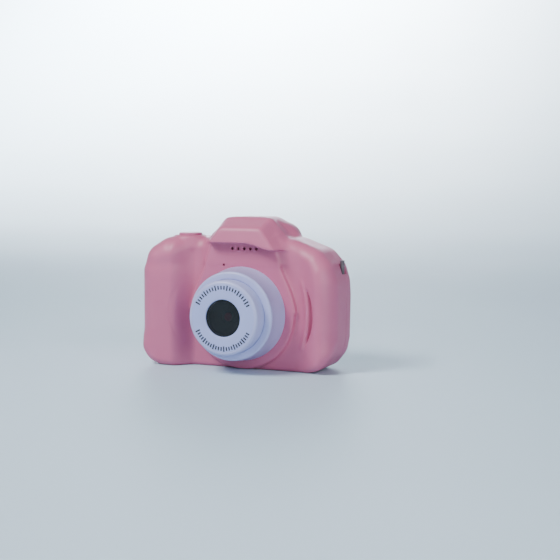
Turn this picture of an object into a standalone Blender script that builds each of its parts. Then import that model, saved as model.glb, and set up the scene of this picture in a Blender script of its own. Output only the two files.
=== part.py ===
"""Kids digital camera: two moulded shells, a stepped lens tube, sprung buttons and the electronics inside.

Frame: X to the right seen from the front, -Y towards the subject, +Z up. The origin is on the flat base,
halfway between the two side walls. Every dimension below is in millimetres; mesh() turns them into metres.
"""

import math

import bmesh
import bpy
from mathutils import Matrix, Vector

MM = 0.001
GAP = 0.3  # clearance between pieces that touch on the real object

# ---------------------------------------------------------------- driving dimensions
HALF_WIDTH = 42.0
SHOULDER_Z = 51.8
HUMP_TOP_Z = 61.0
WALL = 2.0
SEAM_Y = 4.0
REAR_Y = 13.0
VALLEY_Y = -8.5  # front of the body between the grips and the lens tower
TOWER_Y = -10.5
BROW_Y = -14.5
LEFT_GRIP_Y = -15.5
RIGHT_GRIP_Y = -12.5

LENS_X, LENS_Z = 3.0, 22.5
BASE_RING_R, BASE_RING_FRONT_R = 18.8, 17.5
BASE_RING_FRONT_Y = -21.7
BARREL_R, BARREL_FRONT_Y = 14.6, -28.4
TUBE_BORE_R = 12.8
FACE_R, WINDOW_R, SIGHT_R = 13.2, 8.3, 7.0

BODY_OUTLINE = (  # the base is trimmed flat at z = 0
    (-HALF_WIDTH, -0.6, 9.5),
    (HALF_WIDTH, -0.6, 9.5),
    (HALF_WIDTH, 46.0, 9.5),
    (21, SHOULDER_Z + 1.0, 12),
    (-29, SHOULDER_Z + 0.4, 12),
    (-HALF_WIDTH, 49.0, 8.5),
)
SCREW_POSTS = [(x, z) for z in (11.0, 30.0) for x in (-37.6, 37.6)]
BOARD_POSTS = [(29.5, 5.3), (-20.5, 6.0)]

SHUTTER_X, SHUTTER_Y, BOSS_TOP_Z = -23.5, -3.0, 52.9
SHUTTER_R = 4.8
PAD_X, PAD_Z, PAD_STEP = -25.5, 21.0, 7.2
KEYS = {  # name: centre x, centre z, cap radius
    "up_key": (PAD_X, PAD_Z + PAD_STEP, 2.6),
    "down_key": (PAD_X, PAD_Z - PAD_STEP, 2.6),
    "left_key": (PAD_X - PAD_STEP, PAD_Z, 2.6),
    "right_key": (PAD_X + PAD_STEP, PAD_Z, 2.6),
    "ok_key": (PAD_X, PAD_Z, 3.0),
    "mode_button": (PAD_X - 4.5, 39.0, 2.2),
    "power_button": (PAD_X + 4.5, 39.0, 2.2),
}

SCREEN_X, SCREEN_Z = 11.0, 25.5  # centre of the display
COVER_W, COVER_H = 46.0, 36.0
SIGHT_W, SIGHT_H = 41.5, 31.5
BOARD_FRONT_Y, BOARD_T = 2.0, 1.2
BOARD_REAR_Y = BOARD_FRONT_Y + BOARD_T
LCD_FRONT_Y, LCD_REAR_Y = 8.0, 10.6
USB_X, CARD_X, RESET_X = 16.0, -9.0, 24.0
STRAP_Z, STRAP_HALF_H, STRAP_DEPTH = 40.6, 2.1, 4.6

COLOURS = {  # name: (r, g, b), roughness, metallic
    "pink_shell": ((0.80, 0.42, 0.53), 0.45, 0.0),
    "pink_button": ((0.84, 0.46, 0.57), 0.38, 0.0),
    "white_plastic": ((0.72, 0.75, 0.86), 0.35, 0.0),
    "black_plastic": ((0.02, 0.02, 0.025), 0.5, 0.0),
    "smoked_acrylic": ((0.01, 0.012, 0.018), 0.08, 0.0),
    "glass": ((0.5, 0.3, 0.4), 0.03, 0.0),
    "board_green": ((0.03, 0.20, 0.09), 0.4, 0.0),
    "flex_amber": ((0.45, 0.22, 0.04), 0.4, 0.0),
    "steel": ((0.62, 0.62, 0.64), 0.3, 1.0),
    "display_dark": ((0.02, 0.025, 0.03), 0.15, 0.0),
    "cell_foil": ((0.55, 0.56, 0.60), 0.35, 0.8),
    "wire_red": ((0.6, 0.03, 0.02), 0.5, 0.0),
    "wire_black": ((0.02, 0.02, 0.02), 0.5, 0.0),
}


# ---------------------------------------------------------------- modelling helpers
def clear_scene():
    for obj in list(bpy.data.objects):
        bpy.data.objects.remove(obj)


def material(name):
    found = bpy.data.materials.get(name)
    if found:
        return found
    colour, roughness, metallic = COLOURS[name]
    made = bpy.data.materials.new(name)
    made.use_nodes = True
    shader = made.node_tree.nodes["Principled BSDF"]
    shader.inputs["Base Color"].default_value = (*colour, 1)
    shader.inputs["Roughness"].default_value = roughness
    shader.inputs["Metallic"].default_value = metallic
    return made


def mesh(name, bm, finish, at=(0, 0, 0)):
    """Closes the bmesh into a named object whose origin is at `at`, in metres."""
    bmesh.ops.recalc_face_normals(bm, faces=bm.faces)
    bmesh.ops.translate(bm, verts=bm.verts, vec=-Vector(at))
    bmesh.ops.scale(bm, verts=bm.verts, vec=(MM, MM, MM))
    data = bpy.data.meshes.new(name)
    bm.to_mesh(data)
    bm.free()
    data.shade_smooth()
    data.set_sharp_from_angle(angle=math.radians(35))
    data.materials.append(material(finish))
    obj = bpy.data.objects.new(name, data)
    obj.location = Vector(at) * MM
    bpy.context.scene.collection.objects.link(obj)
    return obj


def rounded(corners, steps=5):
    """A closed outline from (x, z, radius) corners, each turned into an arc of `steps` chords."""
    points = []
    count = len(corners)
    for i, corner in enumerate(corners):
        here = Vector(corner[:2])
        radius = corner[2] if len(corner) > 2 else 0
        if not radius:
            points.append(tuple(here))
            continue
        to_last = (Vector(corners[i - 1][:2]) - here).normalized()
        to_next = (Vector(corners[(i + 1) % count][:2]) - here).normalized()
        half = to_last.angle(to_next) / 2
        centre = here + (to_last + to_next).normalized() * (radius / math.sin(half))
        first = here + to_last * (radius / math.tan(half)) - centre
        last = here + to_next * (radius / math.tan(half)) - centre
        turn = first.angle_signed(last)
        for k in range(steps + 1):
            points.append(tuple(centre + Matrix.Rotation(-turn * k / steps, 2) @ first))
    return points


def inset(points, distance):
    """The outline moved inwards by `distance`; its corners stay mitred."""
    if not distance:
        return points
    area = sum(a[0] * b[1] - b[0] * a[1] for a, b in zip(points, points[1:] + points[:1]))
    side = 1 if area > 0 else -1
    moved = []
    for i, point in enumerate(points):
        a = (Vector(point) - Vector(points[i - 1])).normalized()
        b = (Vector(points[(i + 1) % len(points)]) - Vector(point)).normalized()
        normal_a = Vector((-a.y, a.x)) * side
        normal_b = Vector((-b.y, b.x)) * side
        middle = (normal_a + normal_b).normalized()
        moved.append(tuple(Vector(point) + middle * (distance / max(0.3, middle.dot(normal_a)))))
    return moved


def ring_faces(bm, lower, upper):
    count = len(lower)
    for i in range(count):
        j = (i + 1) % count
        bm.faces.new((lower[i], lower[j], upper[j], upper[i]))


def loft(sections):
    """A closed bmesh through sections, each a list of (x, y, z) points of the same count."""
    bm = bmesh.new()
    rings = [[bm.verts.new(p) for p in section] for section in sections]
    for lower, upper in zip(rings, rings[1:]):
        ring_faces(bm, lower, upper)
    bm.faces.new(rings[0])
    bm.faces.new(list(reversed(rings[-1])))
    return bm


def prism(name, outline, y_from, y_to, finish="pink_shell", rounding=0, steps=4, taper=0, at=(0, 0, 0)):
    """An XZ outline extruded along Y. The y_to end has an edge radius, or a chamfer `taper` wide."""
    sections = [[(x, y_from, z) for x, z in outline]]
    way = 1 if y_to > y_from else -1
    if taper:
        sections.append([(x, y_to - way * min(taper, abs(y_to - y_from)), z) for x, z in outline])
        sections.append([(x, y_to, z) for x, z in inset(outline, taper)])
    elif rounding:
        for k in range(steps + 1):
            angle = math.pi / 2 * k / steps
            y = y_to - way * rounding * (1 - math.sin(angle))
            sections.append([(x, y, z) for x, z in inset(outline, rounding * (1 - math.cos(angle)))])
    else:
        sections.append([(x, y_to, z) for x, z in outline])
    return mesh(name, loft(sections), finish, at)


def block(name, low, high, finish, bevel=0.0, at=(0, 0, 0)):
    """A box between two corners, its edges bevelled."""
    bm = bmesh.new()
    size = Vector(high) - Vector(low)
    centre = (Vector(high) + Vector(low)) / 2
    bmesh.ops.create_cube(bm, size=1, matrix=Matrix.Translation(centre) @ Matrix.Diagonal((*size, 1)))
    if bevel:
        bmesh.ops.bevel(bm, geom=bm.edges, offset=bevel, segments=1, affect="EDGES")
    return mesh(name, bm, finish, at)


def turned(name, profile, finish, x, z, steps=48, along="Y", y=0.0, at=(0, 0, 0)):
    """A turned solid about a line along Y (or Z) from a closed (radius, height) profile."""
    bm = bmesh.new()
    points = [bm.verts.new((radius, 0, height)) for radius, height in profile]
    on_axis = profile[0][0] == 0 and profile[-1][0] == 0
    pairs = list(zip(points, points[1:] + ([] if on_axis else points[:1])))
    edges = [bm.edges.new(pair) for pair in pairs]
    bmesh.ops.spin(bm, geom=points + edges, axis=(0, 0, 1), cent=(0, 0, 0), angle=2 * math.pi, steps=steps)
    bmesh.ops.remove_doubles(bm, verts=bm.verts, dist=1e-4)
    if along == "Y":
        bmesh.ops.rotate(bm, verts=bm.verts, matrix=Matrix.Rotation(math.pi / 2, 3, "X"))
        bmesh.ops.scale(bm, verts=bm.verts, vec=(1, -1, 1))
    bmesh.ops.translate(bm, verts=bm.verts, vec=(x, y, z))
    return mesh(name, bm, finish, at)


def rod(name, x, z, radius, y_from, y_to, finish="pink_shell", steps=20, at=(0, 0, 0)):
    """A plain round bar along Y."""
    profile = ((0, y_from), (radius, y_from), (radius, y_to), (0, y_to))
    return turned(name, profile, finish, x, z, steps, at=at)


def boolean(target, operation, *others):
    """One exact Boolean of the target with all the others at once."""
    count = len(target.modifiers)
    helpers = bpy.data.collections.new(f"{target.name}_{operation.lower()}_{count}")
    helpers.hide_render = True
    bpy.context.scene.collection.children.link(helpers)
    for other in others:
        bpy.context.scene.collection.objects.unlink(other)
        helpers.objects.link(other)
        other.hide_render = True
        other.display_type = "WIRE"
    modifier = target.modifiers.new(helpers.name, "BOOLEAN")
    modifier.operation = operation
    modifier.operand_type = "COLLECTION"
    modifier.collection = helpers
    modifier.solver = "EXACT"
    return target


def join(target, *others):
    return boolean(target, "UNION", *others)


def cut(target, *others):
    return boolean(target, "DIFFERENCE", *others)


def rectangle(x, z, width, height, radius=0.0, steps=3):
    """An XZ outline centred on (x, z)."""
    signs = ((-1, -1), (1, -1), (1, 1), (-1, 1))
    return rounded([(x + a * width / 2, z + b * height / 2, radius) for a, b in signs], steps)


# ---------------------------------------------------------------- the two shells
def grip_outline(inner_x, side):
    """The end of the body from just inside its side wall to inner_x; side is -1 for the shutter side."""
    top_z = 48.0 if side < 0 else 46.0
    wall_x = side * (HALF_WIDTH - 0.35)
    inner_r = 8 if side < 0 else 5.8
    wall_r = 8.6 if side < 0 else 8.2
    corners = [
        (inner_x, -1.0, inner_r),
        (wall_x, -1.3, wall_r),
        (wall_x, top_z, 8),
        (inner_x, top_z + 1.6, inner_r),
    ]
    return rounded(corners if side > 0 else corners[::-1])


def hump_outline():
    """The trapezoid of the viewfinder hump, running down into the shoulder."""
    return rounded(
        (
            (LENS_X - 19, 44),
            (LENS_X + 19, 44),
            (LENS_X + 19, 51),
            (LENS_X + 7.6, HUMP_TOP_Z, 4.5),
            (LENS_X - 7.6, HUMP_TOP_Z, 4.5),
            (LENS_X - 19, 51),
        ),
        3,
    )


def eyecup_outline():
    """The lower, wider step of the hump at the rear."""
    x = LENS_X
    right = [(x + 17.4, 46), (x + 16.6, 54.4, 2.6), (x + 12.9, 58, 2.6)]
    left = [(x - 12.9, 58, 2.6), (x - 16.6, 54.4, 2.6), (x - 17.4, 46)]
    return rounded(right + left, 2)


def tower_outline():
    """The flared panel behind the lens: straight flanks that run down onto a round pad."""
    pad_r = 22.0
    start = math.radians(18)
    arc = []
    steps = 20
    for k in range(steps + 1):
        angle = start - k * (math.pi + 2 * start) / steps
        arc.append((LENS_X + pad_r * math.cos(angle), LENS_Z + pad_r * math.sin(angle)))
    return [(LENS_X - 13.3, 51.0), (LENS_X + 13.3, 51.0), *arc]


def crescent_outline(side):
    """The finger groove beside the lens, between two arcs; it is widest level with the lens axis."""
    outer_r, inner_r, half_angle = 29.4, 34.0, math.radians(30)
    tip_z = outer_r * math.sin(half_angle)
    tip_x = outer_r * math.cos(half_angle) - 0.4
    inner_centre = tip_x - math.sqrt(inner_r**2 - tip_z**2)
    steps = 8
    outer, inner = [], []
    for k in range(steps + 1):
        share = 2 * k / steps - 1
        angle = half_angle * share
        outer.append((outer_r * math.cos(angle), outer_r * math.sin(angle)))
        z = tip_z * share
        inner.append((inner_centre + math.sqrt(inner_r**2 - z**2), z))
    loop = outer + inner[::-1]
    return [(LENS_X + side * x, LENS_Z + z) for x, z in (loop if side > 0 else loop[::-1])]


def front_form(tag, skin):
    """The solid outer shape of the front shell, or with skin = WALL the cavity that it holds."""
    back_y = SEAM_Y + 1.0  # trimmed flat at the seam below
    body = prism(
        tag, inset(rounded(BODY_OUTLINE), skin), back_y, VALLEY_Y + skin, rounding=5.0 - skin / 2, steps=4
    )
    outline = inset(grip_outline(-23.4, -1), skin)
    left = prism(tag + "_left_grip", outline, 0, LEFT_GRIP_Y + skin, rounding=7.5 - skin, steps=5)
    outline = inset(grip_outline(26.2, 1), skin)
    right = prism(tag + "_right_grip", outline, 0, RIGHT_GRIP_Y + skin, rounding=5.5 - skin, steps=4)
    hump = prism(
        tag + "_hump", inset(hump_outline(), skin), back_y + 0.5, VALLEY_Y + 3.5 + skin, rounding=1.5, steps=2
    )
    if skin:
        return join(body, left, right, hump)
    tower = prism(tag + "_tower", tower_outline(), -4, TOWER_Y, taper=1.2)
    join(body, left, right, hump, tower, brow(tag), shutter_boss(tag))
    return cut(
        body,
        prism("left_crescent", crescent_outline(-1), -20, LEFT_GRIP_Y + 1.7),
        prism("right_crescent", crescent_outline(1), -20, RIGHT_GRIP_Y + 0.9),
        block("seam_trim", (-50, SEAM_Y, -5), (50, SEAM_Y + 5, 70), "pink_shell"),
        block("front_base_trim", (-51, -30, -6), (51, SEAM_Y + 4, 0), "pink_shell"),
    )


def brow(tag):
    """The overhang above the lens: a wedge whose face is narrower than its root."""
    z_low = 49.8
    face = [(-13.6, z_low), (13.6, z_low), (8.1, 57.0), (-8.1, 57.0)]
    middle = [(-16.5, z_low), (16.5, z_low), (5.4, HUMP_TOP_Z - 0.5), (-5.4, HUMP_TOP_Z - 0.5)]
    root = [(-17.0, z_low), (17.0, z_low), (6.6, HUMP_TOP_Z - 0.3), (-6.6, HUMP_TOP_Z - 0.3)]
    stages = ((-3.6, root), (-8, middle), (BROW_Y, face))
    sections = [[(LENS_X + x, y, z) for x, z in outline] for y, outline in stages]
    return mesh(tag + "_brow", loft(sections), "pink_shell")


def shutter_boss(tag):
    top = BOSS_TOP_Z
    profile = ((0, 42), (6.6, 42), (6.6, 51.0), (6.3, top - 0.5), (5.8, top), (0, top))
    return turned(tag + "_boss", profile, "pink_shell", SHUTTER_X, 0, 28, along="Z", y=SHUTTER_Y)


def strap_pocket(tag, side, y_from, y_to, grow):
    """The side recess that a wrist strap threads through, or with grow the walls around it."""
    deep = HALF_WIDTH - STRAP_DEPTH - grow
    out = HALF_WIDTH + (2.0 if not grow else -1.0)
    half = STRAP_HALF_H + grow
    low = (min(side * deep, side * out), y_from, STRAP_Z - half)
    high = (max(side * deep, side * out), y_to, STRAP_Z + half)
    return block(f"{tag}_{side}", low, high, "pink_shell")


def front_housing():
    shell = front_form("front_housing", 0)
    cut(shell, front_form("front_cavity", WALL))
    posts = []
    for i, (x, z) in enumerate(SCREW_POSTS):
        posts.append(rod(f"front_post_{i}", x, z, 2.6, -7.5, SEAM_Y - 0.1, steps=14))
    for i, (x, z) in enumerate(BOARD_POSTS):
        posts.append(rod(f"board_post_{i}", x, z, 2.0, -7.4, BOARD_FRONT_Y - GAP, steps=12))
    for side in (-1, 1):
        posts.append(strap_pocket("front_pocket_wall", side, 0.2, SEAM_Y - 0.05, 1.4))
    join(shell, *posts)
    shaft = ((0, 40), (SHUTTER_R + GAP, 40), (SHUTTER_R + GAP, 60), (0, 60))
    holes = [
        rod("lens_bore", LENS_X, LENS_Z, 17.3, -14, -4, steps=48),
        turned("shutter_shaft", shaft, "pink_shell", SHUTTER_X, 0, 28, along="Z", y=SHUTTER_Y),
        rod("mic_hole", LENS_X - 7.8, 41.8, 0.5, -12, -5, steps=10),
        block("usb_mouth", (USB_X - 4.3, -1.7, -1), (USB_X + 4.3, 2.1, 3), "pink_shell"),
        block("card_mouth", (CARD_X - 6.6, -0.6, -1), (CARD_X + 6.6, 2.1, 3), "pink_shell"),
        turned("reset_hole", ((0, -1), (0.6, -1), (0.6, 3), (0, 3)), "pink_shell", RESET_X, 0, 10, "Z"),
    ]
    for k in range(5):
        holes.append(rod(f"sound_hole_{k}", LENS_X + 1.2 + 2.6 * (k - 2), 48.4, 0.55, -12, -4.6, steps=10))
    for i, (x, z) in enumerate(SCREW_POSTS):
        holes.append(rod(f"front_pilot_{i}", x, z, 1.25, -5.5, SEAM_Y + 1, steps=12))
    for i, (x, z) in enumerate(BOARD_POSTS):
        holes.append(rod(f"board_pilot_{i}", x, z, 0.95, -5.6, BOARD_FRONT_Y + 1, steps=10))
    for side in (-1, 1):
        holes.append(strap_pocket("front_pocket", side, 1.6, SEAM_Y + 2, 0))
        holes.append(strap_groove("front_groove", side))
    return cut(shell, *holes)


def strap_groove(tag, side):
    """Seats the two ends of the strap pin, half in each shell."""
    reach = STRAP_HALF_H + 1.6
    low, high = STRAP_Z - reach, STRAP_Z + reach
    profile = ((0, low), (1.15, low), (1.15, high), (0, high))
    x = side * (HALF_WIDTH - 1.9)
    return turned(f"{tag}_{side}", profile, "pink_shell", x, 0, 12, "Z", y=SEAM_Y + GAP / 2)


def rear_form(tag, skin):
    """The solid outer shape of the rear shell, or with skin = WALL the cavity that it holds."""
    front_y = SEAM_Y + (GAP if not skin else -1.0)
    body = prism(
        tag, inset(rounded(BODY_OUTLINE), skin), front_y, REAR_Y - skin, rounding=5.0 - skin, steps=4
    )
    hump = prism(tag + "_hump", inset(hump_outline(), skin), front_y, 11.0 - skin, rounding=1.5, steps=2)
    eyecup = prism(
        tag + "_eyecup", inset(eyecup_outline(), skin), 7.5 + skin, REAR_Y + 0.6 - skin, rounding=1.2, steps=2
    )
    join(body, hump, eyecup)
    return body if skin else cut(body, block("rear_base_trim", (-51, 0, -6), (51, 30, 0), "pink_shell"))


def rear_housing():
    shell = rear_form("rear_housing", 0)
    cut(shell, rear_form("rear_cavity", WALL))
    posts = []
    for i, (x, z) in enumerate(SCREW_POSTS):
        posts.append(rod(f"rear_post_{i}", x, z, 3.4, SEAM_Y + GAP + 0.1, REAR_Y - 1.0, steps=16))
    for side in (-1, 1):
        posts.append(strap_pocket("rear_pocket_wall", side, SEAM_Y + GAP + 0.05, 8.8, 1.4))
    join(shell, *posts)
    window = rectangle(SCREEN_X, SCREEN_Z, SIGHT_W, SIGHT_H, 1.0)
    recess = rectangle(SCREEN_X, SCREEN_Z, COVER_W + 2 * GAP, COVER_H + 2 * GAP, 2.3)
    holes = [
        prism("window_opening", window, 9, REAR_Y + 1),
        prism("window_recess", recess, REAR_Y - 1.2 - GAP / 2, REAR_Y + 2),
    ]
    for name, (x, z, radius) in KEYS.items():
        holes.append(rod(name + "_hole", x, z, radius + 0.25, 9, REAR_Y + 1, steps=20))
    for i, (x, z) in enumerate(SCREW_POSTS):
        profile = ((0, 3), (1.35, 3), (1.35, 8.6), (2.5, 8.6), (2.5, REAR_Y + 1), (0, REAR_Y + 1))
        holes.append(turned(f"rear_counterbore_{i}", profile, "pink_shell", x, z, 16))
    for side in (-1, 1):
        holes.append(strap_pocket("rear_pocket", side, SEAM_Y - 1, 7.2, 0))
        holes.append(strap_groove("rear_groove", side))
    return cut(shell, *holes)


# ---------------------------------------------------------------- lens
def lens_parts():
    base = (
        (15.3, -8.2), (17.0, -8.2), (17.0, TOWER_Y - GAP), (BASE_RING_R, TOWER_Y - GAP),
        (BASE_RING_FRONT_R, BASE_RING_FRONT_Y + 0.9), (BASE_RING_FRONT_R - 0.3, BASE_RING_FRONT_Y + 0.3),
        (BASE_RING_FRONT_R - 0.9, BASE_RING_FRONT_Y), (15.3, BASE_RING_FRONT_Y),
    )
    turned("lens_base_ring", base, "white_plastic", LENS_X, LENS_Z, 56)
    nose = [
        (BARREL_R - 1.3 * (1 - math.cos(a)), BARREL_FRONT_Y + 1.3 * (1 - math.sin(a)))
        for a in (math.pi / 2 * k / 4 for k in range(5))
    ]
    barrel = (
        (TUBE_BORE_R, -9.2), (BARREL_R, -9.2), *nose, (FACE_R + 0.15, BARREL_FRONT_Y),
        (FACE_R + 0.15, BARREL_FRONT_Y + 1.0), (WINDOW_R + 0.2, BARREL_FRONT_Y + 1.0),
        (WINDOW_R + 0.2, BARREL_FRONT_Y + 2.5), (7.2, BARREL_FRONT_Y + 2.5),
        (7.2, BARREL_FRONT_Y + 3.7), (TUBE_BORE_R, BARREL_FRONT_Y + 3.7),
    )
    turned("lens_barrel", barrel, "white_plastic", LENS_X, LENS_Z, 56)
    face_y = BARREL_FRONT_Y + 0.75
    face = ((SIGHT_R, face_y), (FACE_R, face_y), (FACE_R, BARREL_FRONT_Y), (SIGHT_R + 0.3, BARREL_FRONT_Y),
            (SIGHT_R, BARREL_FRONT_Y + 0.3))
    turned("lens_face_plate", face, "white_plastic", LENS_X, LENS_Z, 48)
    front, rear = BARREL_FRONT_Y + 1.1, BARREL_FRONT_Y + 2.25
    window = ((0, front), (WINDOW_R, front), (WINDOW_R, rear), (0, rear))
    turned("lens_window", window, "smoked_acrylic", LENS_X, LENS_Z, 40)
    baffle = ((6.9, -25.8), (2.4, -24.7), (2.4, -23.8), (5.2, -23.8), (6.9, -24.6))
    turned("lens_baffle", baffle, "black_plastic", LENS_X, LENS_Z, 32)
    angles = [math.radians(72) * k / 5 for k in range(6)]
    dome = [(1.8 * math.sin(a), -23.4 - 1.6 * (math.cos(a) - 0.3)) for a in angles]
    turned("glass_lens", (*dome, (1.71, -22.4), (0, -22.4)), "glass", LENS_X, LENS_Z, 24)
    holder = ((0, -22.1), (2.0, -22.1), (2.0, -23.1), (3.6, -23.1), (3.6, -15.2), (0, -15.2))
    turned("lens_holder", holder, "black_plastic", LENS_X, LENS_Z, 28)
    seat = prism("module_bracket", rectangle(LENS_X, LENS_Z, 9, 9), -14.9, -12.1, "black_plastic")
    disc = ((0, -13.9), (12.7, -13.9), (12.7, -12.4), (0, -12.4))
    join(seat, turned("bracket_disc", disc, "black_plastic", LENS_X, LENS_Z, 36))
    prism("sensor_board", rectangle(LENS_X, LENS_Z, 14, 14, 1), -11.8, -10.9, "board_green")
    sensor_ribbon()


def sensor_ribbon():
    """The flat flex from the camera module, over the battery to the front of the main board."""
    start, end = (-10.55, 20.0), (1.55, 43.0)
    bends = ((-10.55, 31.5, 1.5), (-7.15, 33.0, 1.5), (-7.15, 39.2, 2), (1.55, 39.2, 1.2))
    path = rounded((start, *bends, end), 3)
    thickness = 0.25
    outer = []
    inner = []
    for i, (y, z) in enumerate(path):
        before = Vector(path[max(0, i - 1)])
        after = Vector(path[min(len(path) - 1, i + 1)])
        normal = (after - before).orthogonal().normalized() * thickness / 2
        outer.append((y + normal.x, z + normal.y))
        inner.append((y - normal.x, z - normal.y))
    loop = outer + inner[::-1]
    half_w = 3.0
    sections = [[(LENS_X + x, y, z) for y, z in loop] for x in (-half_w, half_w)]
    mesh("sensor_ribbon", loft(sections), "flex_amber")


# ---------------------------------------------------------------- buttons
def shutter_button():
    """A mushroom cap in the boss, with a stem down to its switch; its origin is on its sliding axis."""
    radius, top = SHUTTER_R, BOSS_TOP_Z
    cap = (
        (0, 48.75), (1.5, 48.75), (1.5, 50.6), (radius, 50.6), (radius, top + 0.5),
        (radius - 0.25, top + 0.95), (radius - 0.9, top + 1.2), (0, top + 1.1),
    )
    at = (SHUTTER_X, SHUTTER_Y, BOSS_TOP_Z)
    turned("shutter_button", cap, "pink_button", SHUTTER_X, 0, 28, "Z", y=SHUTTER_Y, at=at)


def key_caps():
    """Each cap stands proud of the rear face and is kept in by a flange behind the wall."""
    top = REAR_Y + 0.8
    for name, (x, z, radius) in KEYS.items():
        cap = (
            (0, 8.1), (1.2, 8.1), (1.2, 9.8), (radius + 0.7, 9.8), (radius + 0.7, 10.6), (radius, 10.6),
            (radius, top - 0.5), (radius - 0.5, top), (0, top),
        )
        turned(name, cap, "pink_button", x, z, 20, at=(x, REAR_Y, z))


def switches():
    """One tact switch on the board under each key, and a side-acting one under the shutter button."""
    for name, (x, z, _) in KEYS.items():
        label = name.rsplit("_", 1)[0] + "_switch"
        low_y = BOARD_REAR_Y + GAP / 2
        body = block(label, (x - 2.25, low_y, z - 2.25), (x + 2.25, 6.5, z + 2.25), "steel")
        join(body, rod(label + "_plunger", x, z, 1.1, 6.0, 7.2, "black_plastic", 12))
    rear_y = BOARD_FRONT_Y - GAP / 2
    body = block("shutter_switch", (SHUTTER_X - 3, -5.2, 43.2), (SHUTTER_X + 3, rear_y, 46.6), "steel")
    plunger = ((0, 46), (1.1, 46), (1.1, 47.6), (0, 47.6))
    join(body, turned("shutter_plunger", plunger, "black_plastic", SHUTTER_X, 0, 12, "Z", y=SHUTTER_Y))


# ---------------------------------------------------------------- display and electronics
def display():
    cover = rectangle(SCREEN_X, SCREEN_Z, COVER_W, COVER_H, 2.0, 4)
    prism("screen_cover", cover, REAR_Y - 1.2, REAR_Y, "smoked_acrylic", taper=0.2)
    panel = rectangle(SCREEN_X, SCREEN_Z, 45, 34.5, 0.5, 1)
    prism("lcd_panel", panel, LCD_FRONT_Y, LCD_REAR_Y, "display_dark")
    outline = rectangle(SCREEN_X, SCREEN_Z, 45.5, 35)
    frame = prism("lcd_frame", outline, BOARD_REAR_Y + GAP, LCD_FRONT_Y - GAP, "black_plastic")
    cut(frame, prism("lcd_frame_opening", rectangle(SCREEN_X, SCREEN_Z, 41, 30.5), 2, 9))


def main_board():
    """The board is widest level with the key pad, and steps in past the posts and strap pockets."""
    half_w, waist, low, high = 38.8, 32.6, 3.0, 45.0
    right = [(waist, low), (waist, 15.2), (half_w, 15.2), (half_w, 25.8), (waist, 25.8), (waist, high)]
    outline = right + [(-x, z) for x, z in reversed(right)]
    board = prism("main_board", outline, BOARD_FRONT_Y, BOARD_REAR_Y, "board_green")
    for i, (x, z) in enumerate(BOARD_POSTS):
        cut(board, rod(f"board_hole_{i}", x, z, 1.1, 1, 5, steps=12))
    rear = BOARD_REAR_Y + GAP / 2
    x, z = SCREEN_X, SCREEN_Z
    block("processor_chip", (x - 7, rear, z - 6), (x + 5, rear + 1.2, z + 6), "black_plastic")
    block("memory_chip", (x + 9, rear, z - 4), (x + 15, rear + 1.0, z + 4), "black_plastic")


def sockets():
    front = BOARD_FRONT_Y - GAP / 2
    x = USB_X
    usb = prism("usb_socket", rectangle(x, 3.4, 7.5, 5.6), front, front - 2.7, "steel")
    cut(usb, block("usb_hollow", (x - 3.35, front - 2.3, -1), (x + 3.35, front - 0.4, 5.2), "steel"))
    x = CARD_X
    slot = block("card_slot", (x - 7, front - 1.9, 2.3), (x + 7, front, 17), "steel")
    cut(slot, block("card_hollow", (x - 5.7, front - 1.5, 0), (x + 5.7, front - 0.5, 15.5), "steel"))


def battery_and_sound():
    block("battery", (-12, -6.0, 6.5), (26, -0.9, 36.5), "cell_foil", 0.8)
    wire("battery_wire_red", "wire_red", 27.6)
    wire("battery_wire_black", "wire_black", 29.2)
    speaker = ((0, -2.7), (6.8, -2.7), (6.8, -1.7), (5.0, -1.1), (5.0, 0.1), (0, 0.1))
    turned("speaker", speaker, "black_plastic", LENS_X, 48.4, 32)
    rod("microphone", LENS_X - 9.0, 42.6, 1.6, -6.2, -4.7, "steel", 16)


def wire(name, finish, x):
    """A lead from the end of the cell, down and back to the front of the board."""
    places = ((-3.4, 33.0), (-3.6, 35.5), (-2.6, 38.0), (0.2, 38.6), (1.1, 36.4), (1.1, 33.8))
    route = [Vector((x, y, z)) for y, z in places]
    points = []
    per_span = 4
    ends = [route[0], *route, route[-1]]
    for a, b, c, d in zip(ends, ends[1:], ends[2:], ends[3:]):
        for k in range(per_span):
            t = k / per_span
            bend = (2 * a - 5 * b + 4 * c - d) * t**2 + (3 * b - a - 3 * c + d) * t**3
            points.append(0.5 * (2 * b + (c - a) * t + bend))
    points.append(route[-1])
    curve = bpy.data.curves.new(name, "CURVE")
    curve.dimensions = "3D"
    curve.bevel_depth = 0.5 * MM
    curve.bevel_resolution = 1
    curve.use_fill_caps = True
    spline = curve.splines.new("POLY")
    spline.points.add(len(points) - 1)
    for point, place in zip(spline.points, points):
        point.co = (*(place * MM), 1)
    curve.materials.append(material(finish))
    bpy.context.scene.collection.objects.link(bpy.data.objects.new(name, curve))


# ---------------------------------------------------------------- fasteners
def screws():
    for i, (x, z) in enumerate(SCREW_POSTS):
        shank = ((0, -4.6), (0.5, -4.6), (1.05, -3.6), (1.05, 8.75))
        profile = (*shank, (2.2, 8.75), (2.2, 9.9), (1.9, 10.3), (0, 10.3))
        screw = turned(f"case_screw_{i + 1}", profile, "steel", x, z, 16)
        cut(screw, *cross_recess(f"case_recess_{i}", x, z, 10.3))
    for i, (x, z) in enumerate(BOARD_POSTS):
        y = BOARD_REAR_Y + GAP / 2
        profile = ((0, -4.4), (0.75, -4.4), (0.75, y), (1.6, y), (1.6, y + 1.0), (0, y + 1.0))
        turned(f"board_screw_{i + 1}", profile, "steel", x, z, 14)


def cross_recess(tag, x, z, y):
    long, thin, deep = 1.2, 0.28, 0.8
    arms = []
    for k, (a, b) in enumerate(((long, thin), (thin, long))):
        arms.append(block(f"{tag}_{k}", (x - a, y - deep, z - b), (x + a, y + 1, z + b), "steel"))
    return arms


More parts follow.
